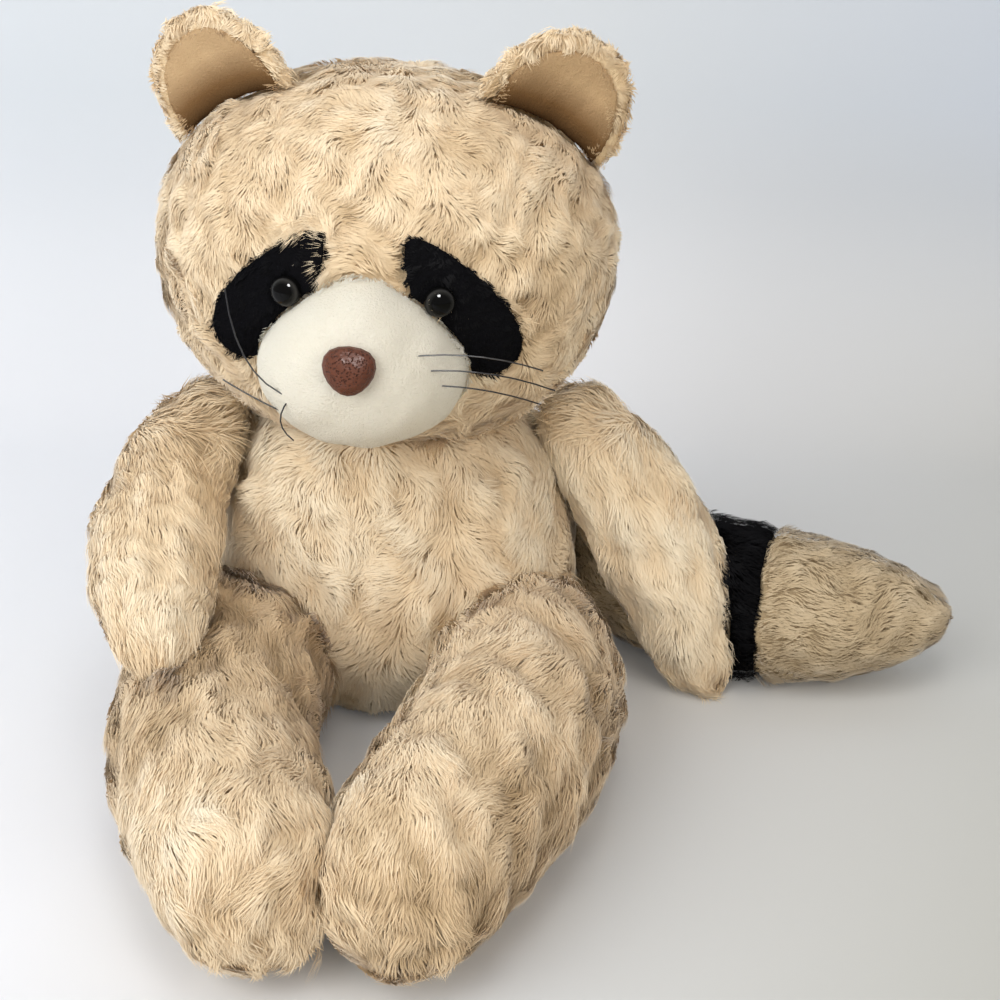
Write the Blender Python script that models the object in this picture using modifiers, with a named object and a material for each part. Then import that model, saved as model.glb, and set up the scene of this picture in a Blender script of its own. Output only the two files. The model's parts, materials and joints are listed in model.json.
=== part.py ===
# Plush raccoon sitting on the floor, built from its sewn and stuffed pieces.
#
# The toy faces -Y and stands on z = 0. Left and right are the toy's own sides, so its left is at +X.
# Every stuffed piece is a closed form at the outer reach of its pile. Pieces that press on each other
# are cut to their neighbour's form, with a fine gap between them, the way stuffed bags share a seam.
# Lengths are in metres and angles in degrees.

import math

import bmesh
import bpy
import numpy as np
from mathutils import Matrix, Vector

# Torso and neck
TORSO_WIDTH = 0.194
TORSO_DEPTH = 0.170
TORSO_HEIGHT = 0.168
TORSO_EXPONENT = 2.6
TORSO_SHOULDER_TAPER = 0.09
BELLY_SWELL_SHARE = 0.16
SEAT_FLATTENING = 0.014

# Head, which leans a little to the toy's right
HEAD_WIDTH = 0.230
HEAD_DEPTH = 0.180
HEAD_HEIGHT = 0.184
HEAD_FORWARD = 0.006
HEAD_CHIN_TAPER = 0.10
HEAD_EXPONENT = 2.3
NECK_SINK = 0.030
HEAD_TURN = 1.5
HEAD_TILT = 2.5

# Muzzle, sewn to the front of the head
MUZZLE_WIDTH = 0.105
MUZZLE_HEIGHT = 0.081
MUZZLE_REACH = 0.040
MUZZLE_DROP = 0.0195
MUZZLE_BRIDGE_TAPER = 0.42

# Nose, a moulded piece with a shank
NOSE_WIDTH = 0.031
NOSE_HEIGHT = 0.024
NOSE_DEPTH = 0.015
NOSE_PROUD = 0.0027
NOSE_PITCH = 15.0
NOSE_CHIN_TAPER = 0.45

# Eyes, moulded domes with a shank
EYE_DIAMETER = 0.014
EYE_DOME = 0.0055
EYE_RIM = 0.0012
EYE_PROUD = 0.0026
EYE_SPACING = 0.0673
EYE_RISE = 0.0101

# Shanks and lock washers of the eyes and the nose
SHANK_DIAMETER = 0.0045
SHANK_LENGTH = 0.014
WASHER_DIAMETER = 0.013
WASHER_THICKNESS = 0.0016
WASHER_DEPTH = 0.006

# Eye patches
PATCH_THICKNESS = 0.0022
PATCH_LENGTH = 0.078
PATCH_WIDTH = 0.034
PATCH_SLANT = 53.0
PATCH_EGG_SHARE = 0.30
PATCH_OUT = 0.0425
PATCH_RISE = 0.006

# Ears
EAR_WIDTH = 0.080
EAR_LENGTH = 0.088
EAR_THICKNESS = 0.024
EAR_CUP = 0.016
EAR_ANGLE = 37.0
EAR_LEAN = 30.0
EAR_YAW = 18.0
EAR_RISE = 0.003
EAR_BACK = 0.004
LINING_SHARE = 0.80
LINING_THICKNESS = 0.009
LINING_PROUD = 0.0006

# Arms
ARM_LENGTH = 0.186
ARM_WIDTH = 0.066
ARM_DEPTH = 0.054
SHOULDER_INSET = 0.017
SHOULDER_DROP = 0.012

# Legs
LEG_LENGTH = 0.292
LEG_WIDTH = 0.096
LEG_HEIGHT = 0.098
LEG_FLATTENING = 0.006
HIP_INSET = 0.040
HIP_FORWARD = 0.010

# Tail, in three lengths of plush
TAIL_LENGTH = 0.324
TAIL_DIAMETER = 0.083
TAIL_FLATTENING = 0.003
TAIL_INSET = 0.006
TAIL_BAND_START = 0.176
TAIL_BAND_LENGTH = 0.050
TAIL_GROOVE_DEPTH = 0.009
TAIL_GROOVE_ANGLE = 40.0
TAIL_GROOVE_SPREAD = 13.0

# Whiskers, stiff nylon bristles
WHISKER_DIAMETER = 0.0007
WHISKER_LENGTH = 0.055
WHISKER_ROOT = 0.006

# Gap that every piece keeps to its neighbour
SEAM_GAP = 0.0003

CREAM_PLUSH = (0.70, 0.53, 0.33, 1.0)
TAN_SHORT_PILE = (0.46, 0.30, 0.14, 1.0)
TAN_TAIL = (0.45, 0.34, 0.20, 1.0)
WHITE_SHORT_PILE = (0.84, 0.82, 0.72, 1.0)
BLACK_PLUSH = (0.006, 0.006, 0.008, 1.0)
BROWN_LEATHERETTE = (0.20, 0.080, 0.050, 1.0)
DARK_GLASS = (0.010, 0.009, 0.009, 1.0)
WHITE_NYLON = (0.80, 0.80, 0.78, 1.0)
BLACK_NYLON = (0.010, 0.010, 0.012, 1.0)

for old in list(bpy.data.objects):
    bpy.data.objects.remove(old, do_unlink=True)

parts = bpy.data.collections.new("plush_raccoon")
cutters = bpy.data.collections.new("cutters")
bpy.context.scene.collection.children.link(parts)
bpy.context.scene.collection.children.link(cutters)

body_frame = bpy.data.objects.new("body_frame", None)
parts.objects.link(body_frame)

head_frame = bpy.data.objects.new("head_frame", None)
parts.objects.link(head_frame)
head_frame.parent = body_frame
head_frame.location = (0, -HEAD_FORWARD, TORSO_HEIGHT - NECK_SINK + HEAD_HEIGHT / 2)
head_frame.rotation_euler = (0, math.radians(HEAD_TILT), -math.radians(HEAD_TURN))


def material(name, colour, roughness, metallic=0.0):
    """A plain Principled material."""
    made = bpy.data.materials.new(name)
    made.use_nodes = True
    shader = made.node_tree.nodes["Principled BSDF"]
    shader.inputs["Base Color"].default_value = colour
    shader.inputs["Roughness"].default_value = roughness
    shader.inputs["Metallic"].default_value = metallic
    return made


cream_plush = material("cream_plush", CREAM_PLUSH, 0.95)
tan_short_pile = material("tan_short_pile", TAN_SHORT_PILE, 0.9)
tan_tail_plush = material("tan_tail_plush", TAN_TAIL, 0.95)
white_short_pile = material("white_short_pile", WHITE_SHORT_PILE, 0.9)
black_plush = material("black_plush", BLACK_PLUSH, 0.95)
brown_leatherette = material("brown_leatherette", BROWN_LEATHERETTE, 0.45)
dark_glass = material("dark_glass", DARK_GLASS, 0.08)
white_nylon = material("white_nylon", WHITE_NYLON, 0.4)
black_nylon = material("black_nylon", BLACK_NYLON, 0.35)


def place(mesh, name, look, parent):
    """An object of the model, from a finished mesh."""
    made = bpy.data.objects.new(name, mesh)
    parts.objects.link(made)
    made.parent = parent
    mesh.materials.append(look)
    mesh.shade_smooth()
    return made


def stuffed(name, shape, look, parent, segments=16, rings=12, levels=1):
    """A sphere cage moved by shape(unit points), then rounded by subdivision."""
    bm = bmesh.new()
    bmesh.ops.create_uvsphere(bm, u_segments=segments, v_segments=rings, radius=1.0)
    moved = shape(np.array([vertex.co for vertex in bm.verts]))
    for vertex, point in zip(bm.verts, moved):
        vertex.co = point
    bm.normal_update()
    bmesh.ops.recalc_face_normals(bm, faces=bm.faces)
    mesh = bpy.data.meshes.new(name)
    bm.to_mesh(mesh)
    bm.free()
    made = place(mesh, name, look, parent)
    rounding = made.modifiers.new("rounding", "SUBSURF")
    rounding.levels = levels
    rounding.render_levels = levels
    return made


def outgrown(source, growth, label):
    """A cutter in the form of a piece before its own cuts, grown by a distance all round."""
    cutter = source.copy()
    cutter.name = f"{source.name}_{label}"
    for modifier in [m for m in cutter.modifiers if m.type == "BOOLEAN"]:
        cutter.modifiers.remove(modifier)
    grow = cutter.modifiers.new("grow", "DISPLACE")
    grow.strength = growth
    grow.mid_level = 0.0
    cutters.objects.link(cutter)
    cutter.hide_render = True
    cutter.display_type = "WIRE"
    return cutter


def boolean(target, cutter, operation="DIFFERENCE"):
    """Boolean of a piece with a cutter, by the exact solver."""
    cut = target.modifiers.new(cutter.name, "BOOLEAN")
    cut.operation = operation
    cut.solver = "EXACT"
    cut.object = cutter


def clear_of(target, *neighbours):
    """Cuts a piece back from the forms of its neighbours, by the seam gap."""
    for neighbour in neighbours:
        boolean(target, outgrown(neighbour, SEAM_GAP, f"clear_of_{target.name}"))


def aimed(yaw, pitch):
    """Unit direction with a yaw to the toy's left and a pitch up."""
    yaw = math.radians(yaw)
    pitch = math.radians(pitch)
    return Vector((math.sin(yaw) * math.cos(pitch), -math.cos(yaw) * math.cos(pitch), math.sin(pitch)))


def surface_point(piece, middle, direction, reach):
    """The outermost point of a piece's rounded form in a direction from its middle."""
    bpy.context.view_layer.update()
    form = piece.evaluated_get(bpy.context.evaluated_depsgraph_get())
    return form.ray_cast(middle + direction * reach, -direction)[1]


def superellipsoid(points, half_sizes, power):
    """Unit points pushed out to a rounded box of the given half sizes."""
    norm = (np.abs(points) ** power).sum(1) ** (1 / power)
    return points / norm[:, None] * np.array(half_sizes)


def smooth_path(rows, places):
    """Catmull-Rom curve through the rows, read at places from 0 to 1."""
    rows = np.array(rows, float)
    padded = np.vstack([2 * rows[0] - rows[1], rows, 2 * rows[-1] - rows[-2]])
    along = np.clip(np.asarray(places, float), 0, 1) * (len(rows) - 1)
    start = np.minimum(along.astype(int), len(rows) - 2)
    t = (along - start)[:, None]
    p0, p1, p2, p3 = (padded[start + step] for step in range(4))
    return 0.5 * (2 * p1 + (p2 - p0) * t + (2 * p0 - 5 * p1 + 4 * p2 - p3) * t ** 2
                  + (3 * p1 - p0 - 3 * p2 + p3) * t ** 3)


def spine(start, length, directions):
    """Points from a start, one for each direction, evenly spaced over the length."""
    points = [Vector(start)]
    for direction in directions:
        points.append(points[-1] + Vector(direction).normalized() * length / len(directions))
    return points


def tube_shape(points, widths, heights, upward, blunt, fold=None):
    """Shape of a stuffed tube: a sphere drawn out along a path, with its own section at each point.

    fold(share along the path, angle round it) gives a factor on the radius, for a seam drawn in.
    """
    rows = [(*point, width / 2, height / 2) for point, width, height in zip(points, widths, heights)]
    step = 1e-3

    def shape(unit):
        along = (1 - unit[:, 2]) / 2
        here = smooth_path(rows, along)
        ahead = smooth_path(rows, np.minimum(along + step, 1))
        behind = smooth_path(rows, np.maximum(along - step, 0))
        tangent = ahead[:, :3] - behind[:, :3]
        tangent /= np.linalg.norm(tangent, axis=1)[:, None]
        side = np.cross(tangent, np.array(upward, float))
        side /= np.linalg.norm(side, axis=1)[:, None]
        up = np.cross(side, tangent)
        ring = np.maximum(np.linalg.norm(unit[:, :2], axis=1), 1e-9)
        swell = (1 - np.abs(unit[:, 2]) ** blunt) ** (1 / blunt)
        if fold:
            swell = swell * fold(along, np.arctan2(unit[:, 1], unit[:, 0]))
        across = (unit[:, 0] / ring * swell * here[:, 3])[:, None] * side
        upright = (unit[:, 1] / ring * swell * here[:, 4])[:, None] * up
        return here[:, :3] + across + upright

    return shape


# Floor that the stuffed pieces are flattened on
bm = bmesh.new()
bmesh.ops.create_cube(bm, size=2.0)
floor_mesh = bpy.data.meshes.new("floor_cutter")
bm.to_mesh(floor_mesh)
bm.free()
floor_cutter = bpy.data.objects.new("floor_cutter", floor_mesh)
floor_cutter.location = (0, 0, -1)
floor_cutter.parent = body_frame
floor_cutter.hide_render = True
floor_cutter.display_type = "WIRE"
cutters.objects.link(floor_cutter)

# Torso: a pear-shaped bag, flat where it sits
torso_half_height = (TORSO_HEIGHT + SEAT_FLATTENING) / 2


def torso_shape(unit):
    """A rounded box that narrows to the shoulders, with the belly swelling to the front."""
    moved = superellipsoid(unit, (TORSO_WIDTH / 2, TORSO_DEPTH / 2, torso_half_height), TORSO_EXPONENT)
    rise = moved[:, 2] / torso_half_height
    moved[:, 0] *= 1 - TORSO_SHOULDER_TAPER * rise
    moved[:, 1] *= 1 - TORSO_SHOULDER_TAPER / 2 * rise
    moved[:, 1] *= 1 + BELLY_SWELL_SHARE * np.clip(-rise, 0, 1) * (moved[:, 1] < 0)
    moved[:, 2] += TORSO_HEIGHT - torso_half_height
    return moved


torso = stuffed("torso", torso_shape, cream_plush, body_frame, segments=14, rings=9)
boolean(torso, floor_cutter)


# Head: a broad bag, fuller at the crown than at the chin
def head_shape(unit):
    """A rounded box, narrower at the chin, in the head's own frame."""
    moved = superellipsoid(unit, (HEAD_WIDTH / 2, HEAD_DEPTH / 2, HEAD_HEIGHT / 2), HEAD_EXPONENT)
    fall = np.clip(-moved[:, 2] / (HEAD_HEIGHT / 2), 0, 1)
    moved[:, 0] *= 1 - HEAD_CHIN_TAPER * fall ** 1.5
    return moved


head = stuffed("head", head_shape, cream_plush, head_frame, segments=16, rings=11)
clear_of(head, torso)

# Muzzle: a white bag, narrow at the bridge and broad at the cheeks
muzzle_half_depth = MUZZLE_REACH * 1.15
muzzle_centre = Vector((0, -HEAD_DEPTH / 2 - MUZZLE_REACH + muzzle_half_depth, -MUZZLE_DROP))


def muzzle_shape(unit):
    """An ellipsoid in the head's frame, narrowed above its middle."""
    moved = superellipsoid(unit, (MUZZLE_WIDTH / 2, muzzle_half_depth, MUZZLE_HEIGHT / 2), 2.15)
    rise = np.clip(moved[:, 2] / (MUZZLE_HEIGHT / 2), 0, 1)
    moved[:, 0] *= 1 - MUZZLE_BRIDGE_TAPER * rise
    return moved + np.array(muzzle_centre)


muzzle = stuffed("muzzle", muzzle_shape, white_short_pile, head_frame, segments=12, rings=8)
clear_of(muzzle, head)


def turned(name, profile, look, parent, steps=12, ring=False):
    """A round piece, turned about its own Z from an open profile or, for a ring, a closed one."""
    mesh = bpy.data.meshes.new(name)
    edges = [(index, index + 1) for index in range(len(profile) - 1)]
    if ring:
        edges.append((len(profile) - 1, 0))
    mesh.from_pydata([(radius, 0, height) for radius, height in profile], edges, [])
    made = place(mesh, name, look, parent)
    turn = made.modifiers.new("turn", "SCREW")
    turn.steps = steps
    turn.render_steps = steps
    turn.use_merge_vertices = True
    turn.merge_threshold = 0.00001
    return made


def facing(direction):
    """Rotation that takes a piece's own +Z to a direction."""
    return Vector(direction).to_track_quat("Z", "Y").to_euler()


# Eyes: glossy domes on a shank, each held by a lock washer behind the cloth
dome_steps = 5
dome_profile = [
    (math.sin(step / dome_steps * math.pi / 2) * EYE_DIAMETER / 2,
     math.cos(step / dome_steps * math.pi / 2) * EYE_DOME)
    for step in range(dome_steps + 1)
]
eye_profile = dome_profile + [
    (EYE_DIAMETER / 2, -EYE_RIM),
    (SHANK_DIAMETER / 2, -EYE_RIM),
    (SHANK_DIAMETER / 2, -SHANK_LENGTH),
    (0, -SHANK_LENGTH),
]
washer_hole = SHANK_DIAMETER / 2 + SEAM_GAP
washer_profile = [
    (washer_hole, WASHER_THICKNESS / 2),
    (WASHER_DIAMETER / 2, WASHER_THICKNESS / 2),
    (WASHER_DIAMETER / 2, -WASHER_THICKNESS / 2),
    (washer_hole, -WASHER_THICKNESS / 2),
]

eyes = {}
for side, sign in (("left", 1), ("right", -1)):
    seat = surface_point(head, Vector((sign * EYE_SPACING / 2, 0, EYE_RISE)), aimed(0, 0), HEAD_WIDTH)
    outward = Vector((seat.x / (HEAD_WIDTH / 2) ** 2, seat.y / (HEAD_DEPTH / 2) ** 2,
                      seat.z / (HEAD_HEIGHT / 2) ** 2)).normalized()
    eye = turned(f"eye_{side}", eye_profile, dark_glass, head_frame)
    eye.location = seat + outward * EYE_PROUD
    eye.rotation_euler = facing(outward)
    washer = turned(f"eye_washer_{side}", washer_profile, white_nylon, head_frame, ring=True)
    washer.location = seat - outward * WASHER_DEPTH
    washer.rotation_euler = facing(outward)
    clear_of(head, eye, washer)
    clear_of(muzzle, eye)
    eyes[side] = eye

# Nose: a rounded triangle with a shank and a washer of its own
nose_outward = aimed(0, NOSE_PITCH)
nose_seat = surface_point(muzzle, muzzle_centre, nose_outward, HEAD_WIDTH)


def nose_shape(unit):
    """A thick button, wide at the top and narrow at the bottom, with its own +Z outward."""
    moved = superellipsoid(unit, (NOSE_WIDTH / 2, NOSE_HEIGHT / 2, NOSE_DEPTH / 2), 2.5)
    fall = np.clip(0.5 - moved[:, 1] / NOSE_HEIGHT, 0, 1)
    moved[:, 0] *= 1 - NOSE_CHIN_TAPER * fall ** 1.4
    return moved


nose = stuffed("nose", nose_shape, brown_leatherette, head_frame, segments=9, rings=5)
nose.location = nose_seat + nose_outward * NOSE_PROUD
nose.rotation_euler = facing(nose_outward)

shank_profile = [
    (0, 0),
    (SHANK_DIAMETER / 2, 0),
    (SHANK_DIAMETER / 2, -SHANK_LENGTH),
    (0, -SHANK_LENGTH),
]
nose_shank = turned("nose_shank", shank_profile, brown_leatherette, head_frame)
nose_shank.location = nose.location
nose_shank.rotation_euler = nose.rotation_euler
parts.objects.unlink(nose_shank)
cutters.objects.link(nose_shank)
nose_shank.hide_render = True
nose_shank.display_type = "WIRE"

nose_washer = turned("nose_washer", washer_profile, white_nylon, head_frame, ring=True)
nose_washer.location = nose.location - nose_outward * (NOSE_DEPTH / 2 + WASHER_DEPTH / 2)
nose_washer.rotation_euler = nose.rotation_euler
clear_of(muzzle, nose, nose_shank, nose_washer)
boolean(nose, nose_shank, "UNION")

# Eye patches: thin cloth on the head's form, inside a slanted egg outline
patch_points = 28


def patch_outline():
    """Egg outline about its own middle, wider at its lower, outer end."""
    points = []
    for step in range(patch_points):
        turn = step / patch_points * 2 * math.pi
        along = math.cos(turn) * PATCH_LENGTH / 2
        across = math.sin(turn) * PATCH_WIDTH / 2 * (1 + PATCH_EGG_SHARE * math.cos(turn))
        points.append((along, across))
    return points


for side, sign in (("left", 1), ("right", -1)):
    curve = bpy.data.curves.new(f"patch_outline_{side}", "CURVE")
    curve.dimensions = "2D"
    curve.fill_mode = "BOTH"
    curve.extrude = HEAD_DEPTH / 4
    spline = curve.splines.new("POLY")
    spline.points.add(patch_points - 1)
    spline.use_cyclic_u = True
    for point, (along, across) in zip(spline.points, patch_outline()):
        point.co = (along, across, 0, 1)
    drawn = bpy.data.objects.new(f"patch_curve_{side}", curve)
    cutters.objects.link(drawn)
    turn = math.radians(PATCH_SLANT if sign > 0 else 180 - PATCH_SLANT)
    bpy.context.view_layer.update()
    flat = bpy.data.meshes.new_from_object(drawn.evaluated_get(bpy.context.evaluated_depsgraph_get()))
    bpy.data.objects.remove(drawn, do_unlink=True)
    bm = bmesh.new()
    bm.from_mesh(flat)
    bmesh.ops.remove_doubles(bm, verts=bm.verts, dist=0.00001)
    bmesh.ops.recalc_face_normals(bm, faces=bm.faces)
    bm.to_mesh(flat)
    bm.free()
    prism = bpy.data.objects.new(f"patch_prism_{side}", flat)
    cutters.objects.link(prism)
    prism.parent = head_frame
    prism.location = (sign * PATCH_OUT, -HEAD_DEPTH / 2, PATCH_RISE)
    prism.rotation_euler = (math.pi / 2, turn, 0)
    prism.hide_render = True
    prism.display_type = "WIRE"

    patch = outgrown(head, PATCH_THICKNESS, f"patch_{side}")
    cutters.objects.unlink(patch)
    parts.objects.link(patch)
    patch.name = f"eye_patch_{side}"
    patch.data = head.data.copy()
    patch.data.materials.clear()
    patch.data.materials.append(black_plush)
    patch.hide_render = False
    patch.display_type = "TEXTURED"
    boolean(patch, prism, "INTERSECT")
    clear_of(patch, head, muzzle, eyes[side])


# Ears: a cupped back of long pile and a tan lining set into it
def leaf_shape(width, length, thickness, forward):
    """A flat round leaf, cupped to the front, with its own +Z along its length."""

    def shape(unit):
        moved = superellipsoid(unit, (width / 2, thickness / 2, length / 2), 2.2)
        reach = (moved[:, 0] / (EAR_WIDTH / 2)) ** 2 + 0.6 * (moved[:, 2] / (EAR_LENGTH / 2)) ** 2
        moved[:, 1] -= EAR_CUP * reach + forward
        return moved

    return shape


lining_forward = (EAR_THICKNESS - LINING_THICKNESS) / 2 + LINING_PROUD
for side, sign in (("left", 1), ("right", -1)):
    angle = math.radians(EAR_ANGLE)
    base = Vector((sign * math.sin(angle) * (HEAD_WIDTH / 2 + EAR_RISE), EAR_BACK,
                   math.cos(angle) * (HEAD_HEIGHT / 2 + EAR_RISE)))
    lean = Matrix.Rotation(sign * math.radians(EAR_LEAN), 3, "Y")
    turn = lean @ Matrix.Rotation(sign * math.radians(EAR_YAW), 3, "Z")
    ear = stuffed(f"ear_{side}", leaf_shape(EAR_WIDTH, EAR_LENGTH, EAR_THICKNESS, 0), cream_plush, head_frame,
                  segments=10, rings=8)
    lining = stuffed(f"ear_lining_{side}",
                     leaf_shape(EAR_WIDTH * LINING_SHARE, EAR_LENGTH * LINING_SHARE, LINING_THICKNESS,
                                lining_forward),
                     tan_short_pile, head_frame, segments=10, rings=6)
    for leaf in (ear, lining):
        leaf.location = base
        leaf.rotation_euler = turn.to_euler()
    clear_of(ear, head, lining)
    clear_of(lining, head)

# Legs: long tubes laid forward, the feet turned in until they touch
hip_height = LEG_HEIGHT / 2 - LEG_FLATTENING
hip_out = TORSO_WIDTH / 2 - HIP_INSET
leg_widths = [LEG_WIDTH * share for share in (0.92, 1.08, 1.12, 1.04, 1.10)]
leg_heights = [LEG_HEIGHT * share for share in (0.90, 0.98, 1.0, 0.98, 1.02)]
leg_directions = {
    "left": [(0.22, -1, 0), (-0.10, -1, 0), (-0.42, -1, 0), (-0.28, -1, 0)],
    "right": [(-0.18, -1, 0), (-0.06, -1, 0), (0.40, -1, 0), (0.36, -1, 0)],
}
legs = {}
for side, sign in (("left", 1), ("right", -1)):
    hip = (sign * hip_out, -HIP_FORWARD, hip_height)
    points = spine(hip, LEG_LENGTH, leg_directions[side])
    legs[side] = stuffed(f"leg_{side}", tube_shape(points, leg_widths, leg_heights, (0, 0, 1), 3.6),
                         cream_plush, body_frame, segments=12, rings=9)
    clear_of(legs[side], torso)
clear_of(legs["right"], legs["left"])
for leg in legs.values():
    boolean(leg, floor_cutter)

# Arms: the left one hangs to the floor, the right one lies on its thigh and presses into it
shoulder_out = TORSO_WIDTH / 2 - SHOULDER_INSET
shoulder_height = TORSO_HEIGHT - SHOULDER_DROP
arm_widths = [ARM_WIDTH * share for share in (1.04, 1.04, 1.04, 0.88)]
arm_depths = [ARM_DEPTH * share for share in (1.10, 1.04, 1.0, 0.90)]
arm_directions = {
    "left": [(0.60, -0.10, -0.76), (0.46, -0.18, -0.86), (0.30, -0.24, -0.92)],
    "right": [(-0.42, -0.72, -0.52), (0.02, -0.92, -0.34), (0.26, -0.93, -0.22)],
}
arm_upward = {"left": (0, -1, 0.2), "right": (0, 0, 1)}
arms = {}
for side, sign in (("left", 1), ("right", -1)):
    shoulder = (sign * shoulder_out, 0, shoulder_height)
    points = spine(shoulder, ARM_LENGTH, arm_directions[side])
    form = tube_shape(points, arm_widths, arm_depths, arm_upward[side], 2.6)
    arms[side] = stuffed(f"arm_{side}", form, cream_plush, body_frame, segments=11, rings=8)
    clear_of(arms[side], torso, head)
clear_of(arms["left"], legs["left"])
boolean(arms["left"], floor_cutter)
clear_of(legs["right"], arms["right"])

# Tail: one tube from the seat seam round to the toy's left, sewn from three lengths
tail_height = TAIL_DIAMETER / 2 - TAIL_FLATTENING
band_end = TAIL_BAND_START + TAIL_BAND_LENGTH
tail_start = (0, TORSO_DEPTH / 2 - TAIL_INSET, tail_height)
tail_directions = [
    (1, 0.18, 0), (0.83, -0.55, 0), (0.70, -0.71, 0), (0.90, -0.43, 0), (0.99, -0.16, 0), (1, 0.03, 0),
]
tail_sizes = [TAIL_DIAMETER * share for share in (0.64, 0.80, 0.90, 0.98, 1.10, 1.10, 0.92)]
tail_points = spine(tail_start, TAIL_LENGTH, tail_directions)


def tail_fold(along, angle):
    """The seam that draws in the tail's front, from the black band to near the tip."""
    across = (angle - math.radians(TAIL_GROOVE_ANGLE)) / math.radians(TAIL_GROOVE_SPREAD)
    lengthwise = np.clip((along * TAIL_LENGTH - band_end) / 0.01, 0, 1) * np.clip((0.97 - along) / 0.1, 0, 1)
    return 1 - TAIL_GROOVE_DEPTH / (TAIL_DIAMETER / 2) * np.exp(-across ** 2) * lengthwise


tail_form = tube_shape(tail_points, tail_sizes, tail_sizes, (0, 0, 1), 2.4, tail_fold)


def tail_frame(distance):
    """A point on the tail's middle line and the direction there."""
    share = distance / TAIL_LENGTH
    here = smooth_path(tail_points, [share])[0]
    ahead = smooth_path(tail_points, [share + 0.01])[0]
    return Vector(here), Vector(ahead - here).normalized()


def tail_slice(name, start, end, look):
    """The length of the tail between two distances from its start, cut square."""
    whole = stuffed("whole_tail", tail_form, look, body_frame, segments=18, rings=10)
    rounded = bpy.data.meshes.new_from_object(whole.evaluated_get(bpy.context.evaluated_depsgraph_get()))
    bpy.data.objects.remove(whole, do_unlink=True)
    rounded.materials.clear()
    bm = bmesh.new()
    bm.from_mesh(rounded)
    for distance, sign in ((start, -1), (end, 1)):
        if distance is None:
            continue
        point, direction = tail_frame(distance)
        cut = bmesh.ops.bisect_plane(bm, geom=bm.verts[:] + bm.edges[:] + bm.faces[:], plane_co=point,
                                     plane_no=direction * sign, clear_outer=True)
        rim = [item for item in cut["geom_cut"] if isinstance(item, bmesh.types.BMEdge)]
        bmesh.ops.holes_fill(bm, edges=rim)
    bm.normal_update()
    bmesh.ops.recalc_face_normals(bm, faces=bm.faces)
    bm.to_mesh(rounded)
    bm.free()
    piece = place(rounded, name, look, body_frame)
    rounded.set_sharp_from_angle(angle=math.radians(50))
    boolean(piece, floor_cutter)
    return piece


tail_base = tail_slice("tail_base", None, TAIL_BAND_START - SEAM_GAP / 2, tan_tail_plush)
tail_band = tail_slice("tail_band", TAIL_BAND_START + SEAM_GAP / 2, band_end - SEAM_GAP / 2, black_plush)
tail_tip = tail_slice("tail_tip", band_end + SEAM_GAP / 2, None, tan_tail_plush)
clear_of(tail_base, torso)
for piece in (tail_base, tail_band, tail_tip):
    clear_of(piece, arms["left"])

# Whiskers: stiff bristles drawn through the muzzle, three on each side
# Each has its root's yaw and pitch, its share of the length, then its direction and bend,
# to the toy's left, back and up
whisker_sets = {
    "left": [
        (44, 20, 1.0, (0.96, 0.10, 0.12), (0, 0.10, -0.26)),
        (50, 10, 1.0, (0.97, 0.14, 0.06), (0, 0.14, -0.28)),
        (56, 0, 0.8, (0.96, 0.16, -0.04), (0, 0.14, -0.22)),
    ],
    "right": [
        (-42, -8, 0.85, (-0.80, 0.06, 0.30), (0.36, 0.10, 0.60)),
        (-52, -22, 0.5, (-0.85, 0.04, 0.34), (0, 0.04, 0.06)),
        (-40, -12, 0.45, (-0.50, -0.20, -0.70), (0.70, 0.10, 0.10)),
    ],
}
whisker_points = 8
for side, bristles in whisker_sets.items():
    for number, (yaw, pitch, share, direction, bend) in enumerate(bristles, 1):
        root = surface_point(muzzle, muzzle_centre, aimed(yaw, pitch), HEAD_WIDTH)
        length = WHISKER_LENGTH * share
        direction = Vector(direction).normalized()
        bend = Vector(bend) / length
        curve = bpy.data.curves.new(f"whisker_{side}_{number}", "CURVE")
        curve.dimensions = "3D"
        curve.bevel_depth = WHISKER_DIAMETER / 2
        curve.bevel_resolution = 1
        curve.use_fill_caps = True
        spline = curve.splines.new("POLY")
        spline.points.add(whisker_points - 1)
        for step, point in enumerate(spline.points):
            along = step / (whisker_points - 1) * (length + WHISKER_ROOT) - WHISKER_ROOT
            point.co = (*(root + direction * along + bend * max(along, 0) ** 2), 1)
        drawn = bpy.data.objects.new("whisker_curve", curve)
        parts.objects.link(drawn)
        bristle = bpy.data.meshes.new_from_object(drawn.evaluated_get(bpy.context.evaluated_depsgraph_get()))
        bpy.data.objects.remove(drawn, do_unlink=True)
        bm = bmesh.new()
        bm.from_mesh(bristle)
        bmesh.ops.remove_doubles(bm, verts=bm.verts, dist=0.00001)
        bm.to_mesh(bristle)
        bm.free()
        bristle.materials.clear()
        whisker = place(bristle, f"whisker_{side}_{number}", black_nylon, head_frame)
        clear_of(whisker, muzzle)

# Origin: the middle of the model's box, on the floor
bpy.context.view_layer.update()
graph = bpy.context.evaluated_depsgraph_get()
corners = []
for made in parts.objects:
    if made.type == "MESH":
        read = made.evaluated_get(graph)
        corners += [read.matrix_world @ vertex.co for vertex in read.data.vertices]
low = [min(corner[axis] for corner in corners) for axis in range(3)]
high = [max(corner[axis] for corner in corners) for axis in range(3)]
body_frame.location = (-(low[0] + high[0]) / 2, -(low[1] + high[1]) / 2, -low[2])
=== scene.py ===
import json
import math

import bmesh
import bpy
import numpy as np
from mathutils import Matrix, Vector
from mathutils.bvhtree import BVHTree


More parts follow.
